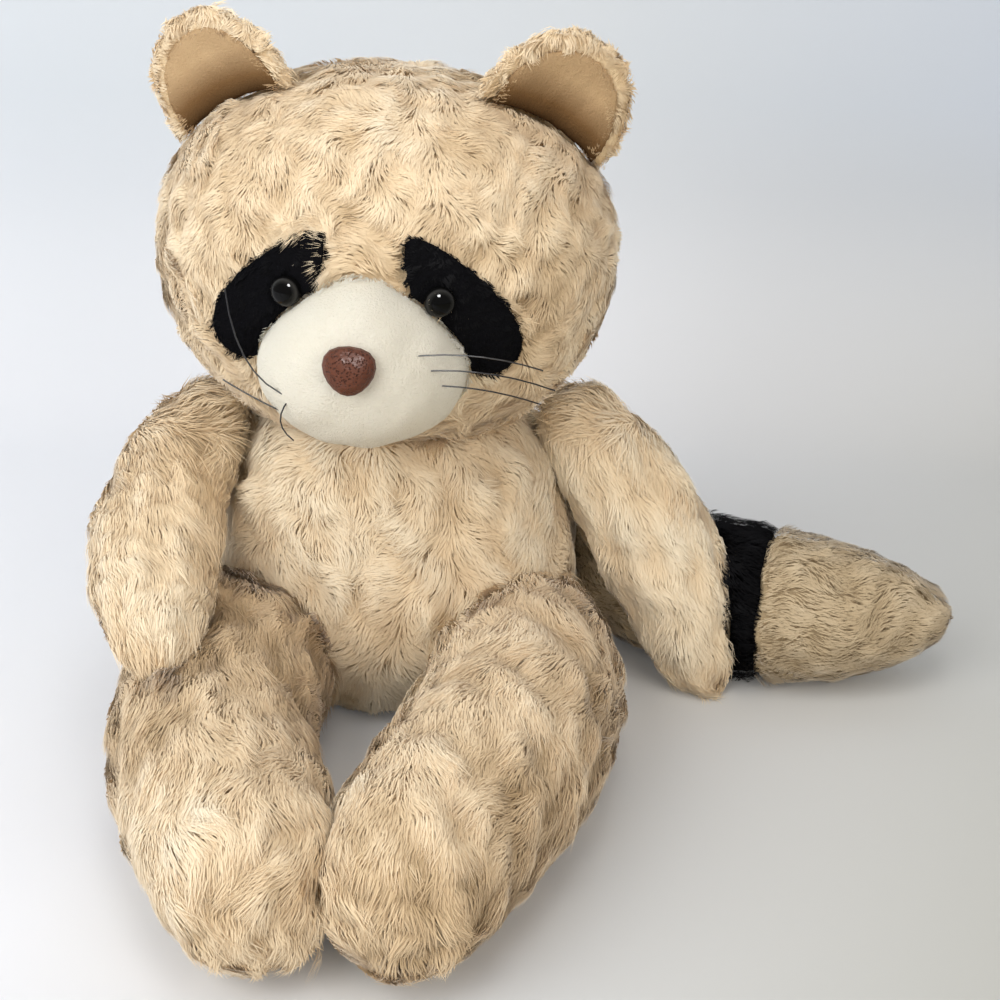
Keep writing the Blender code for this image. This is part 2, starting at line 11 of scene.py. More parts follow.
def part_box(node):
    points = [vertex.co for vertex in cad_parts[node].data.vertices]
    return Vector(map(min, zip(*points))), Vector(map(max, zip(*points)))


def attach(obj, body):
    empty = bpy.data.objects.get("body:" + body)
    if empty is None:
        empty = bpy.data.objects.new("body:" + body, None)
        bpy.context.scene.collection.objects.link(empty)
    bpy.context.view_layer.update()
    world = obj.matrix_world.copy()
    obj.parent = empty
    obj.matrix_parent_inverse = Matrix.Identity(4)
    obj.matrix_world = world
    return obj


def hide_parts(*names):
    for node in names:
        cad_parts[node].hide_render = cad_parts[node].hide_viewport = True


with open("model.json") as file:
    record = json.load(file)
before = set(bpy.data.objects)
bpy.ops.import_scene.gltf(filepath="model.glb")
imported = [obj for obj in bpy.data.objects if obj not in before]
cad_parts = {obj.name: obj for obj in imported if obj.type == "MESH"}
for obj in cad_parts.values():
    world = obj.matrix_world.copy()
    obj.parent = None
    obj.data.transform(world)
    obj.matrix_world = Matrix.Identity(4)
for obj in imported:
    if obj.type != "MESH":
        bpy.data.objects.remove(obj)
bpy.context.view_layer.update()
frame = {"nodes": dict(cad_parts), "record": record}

# Camera: a little above the seated toy and close to it, so its feet look larger than its seat.
# The seat mount fixes the aim, because the toy sits on it. The lens and sensor are in millimetres.
CAMERA_AZIMUTH = math.radians(3.0)
CAMERA_ELEVATION = math.radians(27.0)
CAMERA_DISTANCE = 0.90
CAMERA_LENS = 71.2
CAMERA_SENSOR = 36
CAMERA_NEAR = 0.05
AIM_FROM_SEAT = Vector((0.0601, -0.1106, 0.15))

seat = Vector(next(m for m in frame["record"]["mounts"] if m["name"] == "seat")["pos_m"])
aim = seat + AIM_FROM_SEAT
back = Vector((math.sin(CAMERA_AZIMUTH) * math.cos(CAMERA_ELEVATION),
               -math.cos(CAMERA_AZIMUTH) * math.cos(CAMERA_ELEVATION),
               math.sin(CAMERA_ELEVATION)))
camera = bpy.data.objects.new("camera", bpy.data.cameras.new("camera"))
camera.data.sensor_width = CAMERA_SENSOR
camera.data.lens = CAMERA_LENS
camera.data.clip_start = CAMERA_NEAR
camera.location = aim + back * CAMERA_DISTANCE
camera.rotation_euler = back.to_track_quat("Z", "Y").to_euler()
bpy.context.scene.collection.objects.link(camera)
bpy.context.scene.camera = camera
bpy.context.scene.view_settings.view_transform = "Standard"

# Light: a large soft window in front on the toy's right, a weaker lamp overhead, a warm fill from its
# left, a lamp that is seen only as a glint in glossy faces, and pale light from all round, at a level
# where a colour renders about as it is written.
ROOM_LIGHT = (0.99, 0.965, 0.95, 1.0)
ROOM_STRENGTH = 0.455


def lamp(name, place, power, size, colour, mirrored=False):
    """A round area lamp at a place, turned to the middle of the toy. One that is mirrored is seen only
    in glossy faces, and any other only lights."""
    light = bpy.data.lights.new(name, "AREA")
    light.energy = power
    light.shape = "DISK"
    light.size = size
    light.color = colour
    made = bpy.data.objects.new(name, light)
    made.location = place
    made.rotation_euler = (Vector(place) - aim).to_track_quat("Z", "Y").to_euler()
    made.visible_glossy = mirrored
    made.visible_diffuse = not mirrored
    bpy.context.scene.collection.objects.link(made)


lamp("window", place=(-1.15, -1.10, 1.22), power=27.0, size=1.9, colour=(0.98, 0.99, 1.0))
lamp("overhead", place=(0.05, -0.35, 1.30), power=2.2, size=0.50, colour=(1.0, 0.98, 0.94))
lamp("glint", place=(0.08, -0.62, 1.03), power=24.0, size=0.34, colour=(1.0, 1.0, 1.0), mirrored=True)
lamp("fill", place=(1.0, -1.4, 0.95), power=9.4, size=1.2, colour=(1.0, 0.89, 0.78))

world = bpy.data.worlds.new("room")
world.use_nodes = True
bpy.context.scene.world = world
world.node_tree.nodes["Background"].inputs["Color"].default_value = ROOM_LIGHT
world.node_tree.nodes["Background"].inputs["Strength"].default_value = ROOM_STRENGTH


# Materials: a Wire is a node's output and a Finish is a material. Both are short ways to write node
# graphs, so that each finish reads as sums and mixes of its colours.
class Wire:
    """A node's output. Sums, differences, products and powers with numbers or wires add Math nodes."""

    def __init__(self, socket):
        self.socket = socket

    def joined(self, operation, other):
        return add_node(self.socket.id_data, "ShaderNodeMath", {"operation": operation}, {0: self, 1: other})

    def __add__(self, other):
        return self.joined("ADD", other)

    def __sub__(self, other):
        return self.joined("SUBTRACT", other)

    def __mul__(self, other):
        return self.joined("MULTIPLY", other)

    def __pow__(self, other):
        return self.joined("POWER", other)


def add_node(tree, kind, settings, inputs, output=0):
    """A node of a kind with its settings, then its inputs as wires or values; returns one output."""
    node = tree.nodes.new(kind)
    for name, value in settings.items():
        if name == "stops":
            while len(node.color_ramp.elements) < len(value):
                node.color_ramp.elements.new(0.5)
            for element, (position, colour) in zip(node.color_ramp.elements, value):
                element.position = position
                element.color = (*colour, 1.0)
        else:
            setattr(node, name, value)
    for key, value in inputs.items():
        if isinstance(value, Wire):
            tree.links.new(value.socket, node.inputs[key])
        else:
            node.inputs[key].default_value = value
    return Wire(node.outputs[output])


class Finish:
    """A material with one Principled shader: node() adds a node, feed() sets or links an input."""

    def __init__(self, name, **inputs):
        self.material = bpy.data.materials.new(name)
        self.material.use_nodes = True
        self.tree = self.material.node_tree
        self.shader = self.tree.nodes["Principled BSDF"]
        self.feed(**inputs)

    def node(self, kind, settings=None, output=0, **inputs):
        named = {key.replace("_", " "): value for key, value in inputs.items()}
        return add_node(self.tree, kind, settings or {}, named, output)

    def feed(self, **inputs):
        for key, value in inputs.items():
            socket = self.shader.inputs[key.replace("_", " ")]
            if isinstance(value, Wire):
                self.tree.links.new(value.socket, socket)
            else:
                socket.default_value = value

    def place(self):
        """Object coordinates, in metres from the part's origin."""
        return self.node("ShaderNodeTexCoord", output=3)

    def split(self, vector):
        """The three parts of a vector."""
        parts = self.node("ShaderNodeSeparateXYZ", Vector=vector).socket.node
        return [Wire(part) for part in parts.outputs]

    def noise(self, size, detail=3.0, roughness=0.5):
        """Noise between 0 and 1 whose lumps are about size metres across."""
        return self.node("ShaderNodeTexNoise", Vector=self.place(), Scale=1 / size, Detail=detail,
                         Roughness=roughness)

    def mixed(self, factor, first, second, blend="MIX"):
        """One colour over another by a factor."""
        return add_node(self.tree, "ShaderNodeMix", {"data_type": "RGBA", "blend_type": blend},
                        {0: factor, 6: first, 7: second}, 2)

    def mixed_shader(self, factor, first, second):
        """One shader over another by a factor."""
        return add_node(self.tree, "ShaderNodeMixShader", {}, {0: factor, 1: first, 2: second})

    def bumped(self, height, distance):
        """A normal that is raised by a height from 0 to 1, over a distance in metres."""
        return self.node("ShaderNodeBump", Height=height, Distance=distance)


def grid_mesh(name, points, closed=False):
    """A mesh of quads over a rows by columns by 3 array of points. Closed joins the last column to the
    first."""
    rows, columns = points.shape[:2]
    index = np.arange(rows * columns).reshape(rows, columns)
    if closed:
        index = np.hstack([index, index[:, :1]])
    quads = np.stack([index[:-1, :-1], index[:-1, 1:], index[1:, 1:], index[1:, :-1]], -1).reshape(-1, 4)
    mesh = bpy.data.meshes.new(name)
    mesh.from_pydata(points.reshape(-1, 3), [], quads)
    mesh.shade_smooth()
    return mesh


def link_piece(name, mesh, finish):
    """An object of the scene from a finished mesh and a finish."""
    mesh.materials.append(finish.material)
    made = bpy.data.objects.new(name, mesh)
    bpy.context.scene.collection.objects.link(made)
    return made


# Sweep: one sheet of matt white paper, laid under the toy and curved up close behind it. Its colour is
# painted darker away from the window, to the right and to the front, and its wall is painted darker and
# bluer than its floor, as painted shade. A share of that colour glows to the camera and in glossy rays,
# as painted light.
# Its back can't be seen, so that the toy shows from behind too.
SWEEP_WIDTH = 6.0
SWEEP_FRONT = -3.0
SWEEP_BEND_START = 0.33
SWEEP_BEND_RADIUS = 0.14
SWEEP_BEND_POINTS = 13
SWEEP_HEIGHT = 2.4
FLOOR_TONE = (0.80, 0.815, 0.85, 1.0)
FAR_FLOOR_TONE = (0.370, 0.364, 0.290, 1.0)
WALL_TONE = (0.665, 0.71, 0.755, 1.0)
FAR_WALL_TONE = (0.50, 0.575, 0.72, 1.0)
DARKER_RIGHT = 1.5
DARKER_FRONT = 0.6
DARKER_MIDDLE = 0.25
WALL_RISE = 5
PAPER_ROUGHNESS = 0.9
PAPER_GLOW = 1.1
SELF_LIT_SHARE = 0.05

bend = np.linspace(0, np.pi / 2, SWEEP_BEND_POINTS)
profile_y = np.concatenate([[SWEEP_FRONT], SWEEP_BEND_START + SWEEP_BEND_RADIUS * np.sin(bend),
                            [SWEEP_BEND_START + SWEEP_BEND_RADIUS]])
profile_z = np.concatenate([[0], SWEEP_BEND_RADIUS * (1 - np.cos(bend)), [SWEEP_HEIGHT]])
across = np.array([-SWEEP_WIDTH / 2, SWEEP_WIDTH / 2])
sweep_points = np.stack(np.broadcast_arrays(across[None, :], profile_y[:, None], profile_z[:, None]), -1)

paper = Finish("sweep_paper", Roughness=PAPER_ROUGHNESS)
paper_x, paper_y, paper_z = paper.split(paper.place())
# Painted shade: the paper's colour darkens away from the window, to the right and to the front, and on the
# wall.
darker = paper_x * DARKER_RIGHT - paper_y * DARKER_FRONT + DARKER_MIDDLE
paper_floor = paper.mixed(darker, FLOOR_TONE, FAR_FLOOR_TONE)
paper_wall = paper.mixed(darker, WALL_TONE, FAR_WALL_TONE)
paper_tone = paper.mixed(paper_z * WALL_RISE, paper_floor, paper_wall)
paper.feed(Base_Color=paper_tone)

# Painted light: the paper glows with a share of its own colour to the camera and in glossy rays.
ray = paper.tree.nodes.new("ShaderNodeLightPath").outputs
side_seen = paper.tree.nodes.new("ShaderNodeNewGeometry").outputs
seen = Wire(ray["Is Camera Ray"]) + Wire(ray["Is Glossy Ray"])
glow = paper.node("ShaderNodeEmission", Color=paper_tone, Strength=PAPER_GLOW)
front_face = paper.mixed_shader(seen * SELF_LIT_SHARE, Wire(paper.shader.outputs[0]), glow)
from_behind = Wire(ray["Is Camera Ray"]) * Wire(side_seen["Backfacing"])
both_faces = paper.mixed_shader(from_behind, front_face, paper.node("ShaderNodeBsdfTransparent"))
paper.tree.links.new(both_faces.socket, paper.tree.nodes["Material Output"].inputs["Surface"])
link_piece("sweep", grid_mesh("sweep", sweep_points), paper)

# Stuffed skins: each sewn bag is knitted cloth that its filling swells. Its solid is at the outer reach
# of the pile, so the skin is drawn in by the pile's depth, and then swollen as cloth.
# It stays a millimetre off the floor, and flattens towards it.
SKIN_VOXEL = 0.006
SKIN_SMOOTHINGS = 4
STUFFING_PRESSURE = 4.0
STUFFING_FRAMES = 8
STUFFING_CAP = 0.002
UNDER_PILE = 0.0010
LUMP_SIZE = 0.024
LUMP_SEED = 5
WAVES = 8
WAVE_SIZES = (0.7, 1.5)
FLATTENED_HEIGHT = 0.03
SKIN_OFF_FLOOR = 0.001
MERGE_DISTANCE = 0.000001


def node_box(node):
    """A CAD node's lowest corner, highest corner and middle."""
    low, high = (np.array(corner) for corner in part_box(node))
    return low, high, (low + high) / 2


def merged_points(node):
    """A CAD node's points, triangles and smooth normals, with its loose triangles merged."""
    bm = bmesh.new()
    bm.from_mesh(frame["nodes"][node].data)
    bmesh.ops.remove_doubles(bm, verts=bm.verts, dist=MERGE_DISTANCE)
    bmesh.ops.triangulate(bm, faces=bm.faces)
    bm.normal_update()
    points = np.array([vertex.co for vertex in bm.verts])
    normals = np.array([vertex.normal for vertex in bm.verts])
    triangles = np.array([[vertex.index for vertex in face.verts] for face in bm.faces])
    bm.free()
    return points, triangles, normals


solids = {name: merged_points(name) for name in frame["nodes"]}
trees = {name: BVHTree.FromPolygons(points.tolist(), triangles.tolist())
         for name, (points, triangles, _) in solids.items()}


def read_points(mesh, kind="co"):
    """A mesh's points, or its normals, as rows of three."""
    values = np.zeros(len(mesh.vertices) * 3, np.float32)
    mesh.vertices.foreach_get(kind, values)
    return values.reshape(-1, 3)


def write_points(mesh, points):
    """Moves a mesh's points to the places given as rows of three."""
    mesh.vertices.foreach_set("co", points.astype(np.float32).ravel())
    mesh.update()


def ramp(value, start, end):
    """Goes from 0 to 1 as a value goes from start to end, and stays level beyond them."""
    return np.clip((value - start) / (end - start), 0, 1)


def waves(points, size, seed, stretch=(1.0, 1.0, 1.0)):
    """Smooth noise and its slope: eight sine waves, about size metres long, in random directions. Its
    swing is about one. A stretch under one along an axis makes the lumps longer that way."""
    draw = np.random.default_rng(seed)
    ways = draw.normal(size=(WAVES, 3))
    sizes = size * draw.uniform(*WAVE_SIZES, (WAVES, 1))
    ways *= 2 * np.pi / sizes / np.linalg.norm(ways, axis=1)[:, None]
    ways *= np.array(stretch)
    turn = points @ ways.T + draw.uniform(0, 2 * np.pi, WAVES)
    return np.sin(turn).sum(-1) / 2, np.cos(turn) @ ways / 2


def shaped_mesh(piece):
    """A new mesh of a piece as its modifiers shape it."""
    return bpy.data.meshes.new_from_object(piece.evaluated_get(bpy.context.evaluated_depsgraph_get()))


def stuffed_skin(node, depth, finish, voxel=SKIN_VOXEL, lumps=0.0008):
    """The skin of a stuffed piece: its solid remeshed, drawn in by the pile's depth, and swollen as
    cloth, where no point moves further than the cap."""
    points, triangles, _ = solids[node]
    mesh = bpy.data.meshes.new(f"{node}_skin")
    mesh.from_pydata(points, [], triangles)
    skin = link_piece(f"{node}_skin", mesh, finish)
    remesh = skin.modifiers.new("weave", "REMESH")
    remesh.mode = "VOXEL"
    remesh.voxel_size = voxel
    draw_in = skin.modifiers.new("draw_in", "DISPLACE")
    draw_in.mid_level = 0.0
    draw_in.strength = -depth - (UNDER_PILE if depth > UNDER_PILE else 0)
    smooth = skin.modifiers.new("smooth", "SMOOTH")
    smooth.iterations = SKIN_SMOOTHINGS
    applied = shaped_mesh(skin)
    skin.modifiers.clear()
    skin.data = applied
    places = read_points(applied)
    bpy.context.scene.frame_set(1)
    cloth = skin.modifiers.new("stuffing", "CLOTH")
    cloth.settings.use_pressure = True
    cloth.settings.uniform_pressure_force = STUFFING_PRESSURE
    cloth.settings.effector_weights.gravity = 0
    cloth.point_cache.frame_end = STUFFING_FRAMES
    for step in range(1, STUFFING_FRAMES + 1):
        bpy.context.scene.frame_set(step)
    moved = read_points(shaped_mesh(skin)) - places
    moved *= np.minimum(1, STUFFING_CAP / np.maximum(np.linalg.norm(moved, axis=1), 1e-9))[:, None]
    places = places + moved
    skin.modifiers.clear()
    bpy.context.scene.frame_set(1)
    lump_height = waves(places, LUMP_SIZE, LUMP_SEED)[0] * lumps
    places = places + read_points(applied, "normal") * lump_height[:, None]
    flattened = places[:, 2] - depth * np.clip(1 - places[:, 2] / FLATTENED_HEIGHT, 0, 1)
    places[:, 2] = np.maximum(flattened, SKIN_OFF_FLOOR)
    write_points(applied, places)
    applied.shade_smooth()
    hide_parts(node)
    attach(skin, "root")
    return skin


# Pile: every hair is a thin blade of two triangles, from its root under the skin through a knee to its
# tip. Hairs stand in tufts, and locks of them share a height and a lean, and a painted shade that is
# paler on their ridges and darker in their hollows.
# These shares hold for every plush; each piece gives its own lengths and directions.
SPOTS_IN_CELL = 9
UNDERSIDE_FACING = -0.8
UNDERSIDE_HEIGHT = 0.004
UNDERSIDE_SHARE = 0.35
BROAD_WANDER = 0.055
FINE_WANDER = 0.018
TUFT_TURN = 0.12
TUFT_REACH = (0.85, 1.15)
HAIR_REACH = (0.65, 1.25)
HAIR_LIFT = (-0.8, 0.7)
HAIR_WIDTH = (0.7, 1.3)
ROOT_BACK = 0.3
KNEE_ALONG = 0.25
KNEE_DRIFT = 0.4
KNEE_RISE = 0.7
KNEE_SINK = 0.12
KNEE_ASIDE = 0.05
LOCK_FOOT = 0.6
LOCK_LEAN = 0.12
LOCK_LEAN_PARTS = 6
LOCK_SHADING = 0.55
TUFT_GATHER = 0.15
PILE_OFF_FLOOR = 0.0004
MIDDLE_SHADE = 0.52
SHADE_DRIFT = 0.08
SHADE_DRIFT_SIZE = 0.06
PAINTED_LOCK_SHADE = 0.09
SHADE_ENDS = (0.03, 0.97)
BACKING_DRIFT_SIZE = 0.02
BACKING_DRIFT_SHARE = 0.6
BACKING_GRAIN_SHARE = 0.4
BLADE_CORNERS = np.array([0, 1, 2, 2, 1, 3])
BLADE_ALONG = np.array([0.01, 0.22, 0.22, 0.22, 0.22, 0.49])
BLADE_ASIDE = np.array([0.0, -0.003, 0.003, 0.003, -0.003, 0.0])


def tuft_places(node, spacing, seed, neighbours, clear=0.0009, near=None, hidden=None):
    """Places of tufts on a solid: random spots, thinned to one in each cell, away from its neighbours.
    Few are kept on the underside, where the piece lies on the floor, and on what hidden() tells of.
    With near, a node and a distance, only the tufts that close to it are kept."""
    points, triangles, normals = solids[node]
    draw = np.random.default_rng(seed)
    corners = points[triangles]
    areas = np.linalg.norm(np.cross(corners[:, 1] - corners[:, 0], corners[:, 2] - corners[:, 0]), axis=1) / 2
    count = int(areas.sum() / spacing ** 2 * SPOTS_IN_CELL)
    pick = draw.choice(len(areas), count, p=areas / areas.sum())
    share = draw.random((count, 2))
    share = np.where(share.sum(1)[:, None] > 1, 1 - share, share)
    weights = np.stack([1 - share.sum(1), share[:, 0], share[:, 1]], 1)[:, :, None]
    spots = (points[triangles[pick]] * weights).sum(1)
    facing = (normals[triangles[pick]] * weights).sum(1)
    facing /= np.linalg.norm(facing, axis=1)[:, None]
    cells = np.floor(spots / spacing).astype(int)
    kept = np.unique(cells, axis=0, return_index=True)[1]
    covered = (facing[kept, 2] < UNDERSIDE_FACING) & (spots[kept, 2] < UNDERSIDE_HEIGHT)
    if hidden is not None:
        covered |= hidden(spots[kept])
    kept = kept[~covered | (draw.random(len(kept)) < UNDERSIDE_SHARE)]
    free = [index for index in kept
            if all(trees[other].find_nearest(spots[index], clear)[0] is None for other in neighbours)]
    if near is not None:
        free = [index for index in free
                if trees[near[0]].find_nearest(spots[index], near[1])[0] is not None]
    return spots[free], facing[free]


def along_surface(direction, normal):
    """The part of a direction that lies along the surface, at unit length."""
    flat = direction - (direction * normal).sum(-1, keepdims=True) * normal
    return flat / np.maximum(np.linalg.norm(flat, axis=-1, keepdims=True), 1e-6)


def turned(comb, normal, angle):
    """A comb direction turned about the surface normal by an angle."""
    side = np.cross(normal, comb)
    return comb * np.cos(angle)[:, None] + side * np.sin(angle)[:, None]


def blade_mesh(name, corners, shading, shade):
    """A mesh of blades, two triangles each, from their root, knee and tip corners. Its normals are the
    shading given, and its UV layers hold each hair's shade and half the share of its length."""
    count = len(corners)
    first = (np.arange(count) * 4)[:, None]
    mesh = bpy.data.meshes.new(name)
    mesh.vertices.add(count * 4)
    mesh.vertices.foreach_set("co", corners.astype(np.float32).ravel())
    mesh.loops.add(count * 6)
    mesh.loops.foreach_set("vertex_index", (first + BLADE_CORNERS).astype(np.int32).ravel())
    mesh.polygons.add(count * 2)
    mesh.polygons.foreach_set("loop_start", (np.arange(count * 2) * 3).astype(np.int32))
    mesh.update(calc_edges=True)
    mesh.shade_smooth()
    spots = np.stack(np.broadcast_arrays(shade[:, None] + BLADE_ASIDE, BLADE_ALONG), -1)
    for label in ("tuft", "OFBake"):
        mesh.uv_layers.new(name=label).data.foreach_set("uv", spots.astype(np.float32).ravel())
    mesh.normals_split_custom_set_from_vertices(np.repeat(shading, 4, axis=0))
    return mesh


def pile(name, places, comb, finish, seed, hairs, spread, depth, reach, lift, width, wander, locks,
         stretch=(1.0, 1.0, 1.0), bend=9.0, fray=0.09, ruffle=0.028, tint=0.0):
    """Hairs of pile, each a thin blade with its widest place at a knee. A hair starts depth below the
    solid's surface, within spread of its tuft's place, rises, and lies over along the comb direction
    for its reach. The comb direction wanders, by a broad and a fine share. The locks, a size and a
    height, are smooth noise over the surface: hairs rise with it, lean to its ridges and are shaded by its
    slope, and their colour is painted paler on its ridges and darker in its hollows, as painted shade.
    Reach, lift and tint are one number, or one for each tuft."""
    centre, normal = places
    count = len(centre)
    total = count * hairs
    draw = np.random.default_rng(seed)
    comb = along_surface(comb, normal)
    across = np.cross(normal, comb)
    radius = spread * np.sqrt(draw.random((count, hairs, 1)))
    angle = 2 * np.pi * draw.random((count, hairs, 1))
    offset = radius * (np.cos(angle) * comb[:, None] + np.sin(angle) * across[:, None])
    spot = (centre[:, None] + offset).reshape(-1, 3)
    offset = offset.reshape(-1, 3)
    up = np.repeat(normal, hairs, axis=0)

    # The way each hair lies, and the height and slope of its lock.
    bias = wander[0] * waves(spot, BROAD_WANDER, seed)[0] + wander[1] * waves(spot, FINE_WANDER, seed + 1)[0]
    bias = bias + np.repeat(TUFT_TURN * draw.normal(size=count), hairs) + fray * draw.normal(size=total)
    forward = turned(np.repeat(comb, hairs, axis=0), up, bias)
    side = np.cross(up, forward)
    height, slope = waves(spot, locks[0], seed + 2, stretch)
    slope = slope - (slope * up).sum(1, keepdims=True) * up

    # Its length and rise, then its root, knee and tip.
    length = np.repeat(reach * draw.uniform(*TUFT_REACH, count), hairs)[:, None]
    length = length * draw.uniform(*HAIR_REACH, (total, 1))
    rise = np.repeat(np.broadcast_to(lift, count), hairs)[:, None] * draw.uniform(*HAIR_LIFT, (total, 1))
    rise = rise + locks[1] * (height[:, None] - LOCK_FOOT)
    drift = slope * LOCK_LEAN * locks[0] ** 2 / LOCK_LEAN_PARTS - offset * TUFT_GATHER
    root = spot - up * depth - forward * length * ROOT_BACK
    tip = spot + forward * length + drift + up * (rise - bend * length ** 2)
    knee = spot + forward * length * KNEE_ALONG + drift * KNEE_DRIFT
    knee = knee + up * (rise * KNEE_RISE - depth * KNEE_SINK)
    knee = knee + side * length * KNEE_ASIDE * draw.normal(size=(total, 1))

    # The blade's width lies across its axis, and rolls a little about it.
    axis = tip - knee
    axis /= np.linalg.norm(axis, axis=-1, keepdims=True)
    blade = np.cross(up, axis)
    blade /= np.maximum(np.linalg.norm(blade, axis=-1, keepdims=True), 1e-6)
    roll = 2 * ruffle * draw.normal(size=(total, 1))
    blade = np.cos(roll) * blade + np.sin(roll) * np.cross(axis, blade)
    blade = blade * width / 2 * draw.uniform(*HAIR_WIDTH, (total, 1))
    corners = np.stack([root, knee - blade, knee + blade, tip], 1)
    corners[..., 2] = np.maximum(corners[..., 2], PILE_OFF_FLOOR)

    shading = up - LOCK_SHADING * locks[1] * slope + ruffle * draw.normal(size=(total, 3))
    shading = shading / np.linalg.norm(shading, axis=-1, keepdims=True)
    shade = MIDDLE_SHADE + np.repeat(np.broadcast_to(tint, count), hairs)
    # Painted shade: a hair is paler on a lock's ridge and darker in its hollow.
    shade = shade + SHADE_DRIFT * waves(spot, SHADE_DRIFT_SIZE, seed + 3)[0] + PAINTED_LOCK_SHADE * height
    shade = np.clip(shade + ruffle * draw.normal(size=total), *SHADE_ENDS)
    made = link_piece(name, blade_mesh(name, corners, shading, shade), finish)
    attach(made, "root")
    return made


def pile_finish(name, root, shades, roughness=0.88, sheen=0.35):
    """Finish of a pile: a shade for each hair, which the root tint deepens towards its foot."""
    finish = Finish(name, Roughness=roughness, Specular_IOR_Level=0.04, Sheen_Weight=sheen,
                    Sheen_Roughness=0.5)
    hair_shade, half_length, _ = finish.split(finish.node("ShaderNodeUVMap", {"uv_map": "tuft"}))
    shade = finish.node("ShaderNodeValToRGB", {"stops": shades}, Fac=hair_shade)
    from_foot = (half_length * 2) ** 0.5
    depth_tint = finish.mixed(from_foot, (*root, 1), (1, 1, 1, 1))
    finish.feed(Base_Color=finish.mixed(1.0, shade, depth_tint, "MULTIPLY"))
    return finish


def backing_colour(finish, dark, pale, grain, relief):
    """Gives a backing its fine felted grain, and returns its colour, whose shade drifts."""
    drift = finish.noise(BACKING_DRIFT_SIZE, detail=4.0)
    fine = finish.noise(grain, detail=3.0, roughness=0.7)
    finish.feed(Normal=finish.bumped(fine, relief))
    shade = drift * BACKING_DRIFT_SHARE + fine * BACKING_GRAIN_SHARE
    return finish.mixed(shade, (*dark, 1), (*pale, 1))


def backing_finish(name, dark, pale, grain=0.004, relief=0.002):
    """Finish of a plush's backing: the dense under-wool that shows between the hairs."""
    finish = Finish(name, Roughness=0.95, Specular_IOR_Level=0.02)
    finish.feed(Base_Color=backing_colour(finish, dark, pale, grain, relief))
    return finish


# Torso: a sewn bag of cream long-pile plush, filled until firm. Its skin is knitted cloth that
# the filling swells, and its pile is combed down from the neck. It carries the head and limbs.
CREAM_ROOT = (0.92, 0.87, 0.79)
CREAM_SHADES = [(0.0, (0.44, 0.31, 0.17)), (0.3, (0.74, 0.57, 0.36)), (0.6, (0.93, 0.77, 0.54)),
                (1.0, (0.98, 0.88, 0.69))]
TORSO_PILE_DEPTH = 0.0036
TORSO_COMB_SPREAD = 2.5

cream_pile = pile_finish("cream_pile", CREAM_ROOT, CREAM_SHADES)
cream_backing = backing_finish("cream_backing", dark=(0.74, 0.56, 0.34), pale=(0.86, 0.69, 0.45))

stuffed_skin("torso", TORSO_PILE_DEPTH, cream_backing)
torso_places = tuft_places("torso", spacing=0.0060, seed=11,
                           neighbours=("head", "leg_left", "leg_right", "arm_left", "arm_right"))
from_spine = torso_places[0] - np.array([seat.x, 0, 0])
torso_comb = np.array([0, 0, -1.0]) + from_spine * np.array([TORSO_COMB_SPREAD, 0, 0])
# Painted light: the torso's pile is tinted paler than the head's, for the light on its chest.
pile("torso_pile", torso_places, torso_comb, cream_pile, seed=21, hairs=27,
     spread=0.0056, depth=TORSO_PILE_DEPTH, reach=0.012, lift=0.0009, width=0.0006,
     wander=(0.5, 0.35), locks=(0.016, 0.0014), stretch=(1, 1, 0.8), tint=0.24)

# Head: a broad bag of the same plush, its pile shorter and curled into small wavy tufts that
# radiate from the crown and hang longer at the chin. It is sewn to the neck, and its pile hides that
# seam. Its back, which the camera can't see, has fewer tufts.
HEAD_PILE_DEPTH = 0.0032
CROWN_SHARE = (0, 0.035, 0.5)
CHIN_TOP = 0.045
CHIN_FULL = 0.015
HEAD_BACK = 0.02

stuffed_skin("head", HEAD_PILE_DEPTH, cream_backing)
head_low, head_high, head_middle = node_box("head")
crown = head_middle + np.array(CROWN_SHARE) * (head_high - head_low)
head_places = tuft_places("head", spacing=0.0050, seed=12,
                          neighbours=("torso", "muzzle", "eye_patch_left", "eye_patch_right", "ear_left",
                                      "ear_right", "ear_lining_left", "ear_lining_right", "arm_left",
                                      "arm_right"),
                          hidden=lambda spots: spots[:, 1] > head_middle[1] + HEAD_BACK)
chin_share = ramp(head_places[0][:, 2], head_low[2] + CHIN_TOP, head_low[2] + CHIN_FULL)
pile("head_pile", head_places, head_places[0] - crown, cream_pile, seed=22, hairs=26,
     spread=0.0046, depth=HEAD_PILE_DEPTH, reach=0.0085 + 0.007 * chin_share,
     lift=0.0005 + 0.003 * chin_share, width=0.0006, wander=(0.8, 0.55), locks=(0.013, 0.0010),
     bend=6.0, tint=-0.05)

# Legs: two long bags of the same plush laid forward, sewn on at the hips, with long pile combed to the
# feet. The pile is painted darker on the soles, the left leg's outer side and the right leg's thigh, as
# painted shade where less light falls.
LEG_PILE_DEPTH = 0.0038
FOOT_INSET = 0.045
FOOT_BEYOND = 0.05
SOLE_FACING = (0.375, 1.0)
SOLE_PAINTED_SHADE = {"left": 2.7, "right": 0.9}
OUTER_FACING = (0.1875, 0.8125)
OUTER_PAINTED_SHADE = 1.9
THIGH_PLACES = (-0.12, -0.03)
THIGH_PAINTED_SHADE = 3.0
PAINTED_SHADE_LIMIT = 1.6
LEG_TINT = -0.02
PAINTED_SHADE_TINT = -0.18

